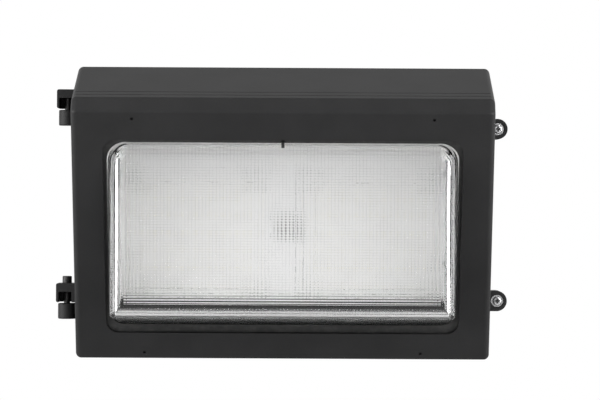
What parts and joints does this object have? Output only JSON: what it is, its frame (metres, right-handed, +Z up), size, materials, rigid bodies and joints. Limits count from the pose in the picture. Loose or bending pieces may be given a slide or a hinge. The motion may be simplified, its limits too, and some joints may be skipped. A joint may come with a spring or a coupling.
{
  "type": "wall pack light",
  "caption": "Wedge-shaped outdoor wall pack light: a hinged cast door with a prismatic glass refractor over a cast back box.",
  "frame": {"origin": "centre of the wall-screw pattern, on the wall plane", "axes": "+Z up, -Y out from the wall towards the room, +X to the right of someone who faces the light"},
  "size_m": [0.3589, 0.1837, 0.232],
  "materials": {
    "casting": "fine-textured satin powder coat",
    "silicone": "matte",
    "dark_steel": "black oxide",
    "aluminium": "brushed sheet",
    "black_anodised": "black anodised",
    "steel": "zinc plated",
    "chrome": "bright plated",
    "board": "white solder mask",
    "chip": "phosphor",
    "black_plastic": "moulded",
    "rubber": "matte",
    "white_paint": "gloss white",
    "lead_insulation": "extruded",
    "orange_plastic": "moulded",
    "green_screw": "green chromate",
    "glass": "pressed prismatic glass"
  },
  "bodies": {
    "housing": {"back_box": "casting", "door_seal": "silicone", "upper_hinge_pin": "dark_steel", "lower_hinge_pin": "dark_steel", "left_conduit_plug": "casting", "right_conduit_plug": "casting", "bottom_conduit_plug": "casting", "conduit_plug_o_rings": "silicone", "heat_plate": "black_anodised", "heat_plate_screws": "steel", "left_led_board": "board", "right_led_board": "board", "led_chips": "chip", "led_board_screws": "steel", "led_connector": "black_plastic", "lead_grommet": "rubber", "reflector": "white_paint", "reflector_screws": "steel", "driver_case": "aluminium", "driver_cover": "aluminium", "driver_screws": "steel", "driver_input_leads": "lead_insulation", "driver_output_lead": "lead_insulation", "wire_nuts": "orange_plastic", "ground_screw": "green_screw"},
    "door": {"door_frame": "casting", "lens": "glass", "lens_seal": "silicone", "lens_clips": "steel", "lens_clip_screws": "steel", "lens_centre_clip": "dark_steel"},
    "upper_screw": {"upper_door_screw": "chrome"},
    "lower_screw": {"lower_door_screw": "chrome"},
    "upper_washer": {"upper_screw_washer": "chrome"},
    "lower_washer": {"lower_screw_washer": "chrome"}
  },
  "joints": [
    {"name": "door_hinge", "type": "hinge", "parent": "housing", "child": "door", "pos_m": [-0.1725, -0.09, 0], "axis": [0, 0, -1], "range_deg": [0, 110]},
    {"name": "upper_screw_slide", "type": "slide", "parent": "door", "child": "upper_washer", "axis": [0, -1, 0], "range_m": [0, 0.0077]},
    {"name": "upper_screw_turn", "type": "hinge", "parent": "upper_washer", "child": "upper_screw", "pos_m": [0.1708, -0.1023, 0.0676], "axis": [0, -1, 0], "range_deg": [0, 3960]},
    {"name": "lower_screw_slide", "type": "slide", "parent": "door", "child": "lower_washer", "axis": [0, -1, 0], "range_m": [0, 0.0077]},
    {"name": "lower_screw_turn", "type": "hinge", "parent": "lower_washer", "child": "lower_screw", "pos_m": [0.1708, -0.1023, -0.0693], "axis": [0, -1, 0], "range_deg": [0, 3960]}
  ],
  "couplings": [
    {"joint": "upper_screw_turn", "follows": "upper_screw_slide", "rad_per_m": 8976},
    {"joint": "lower_screw_turn", "follows": "lower_screw_slide", "rad_per_m": 8976}
  ]
}
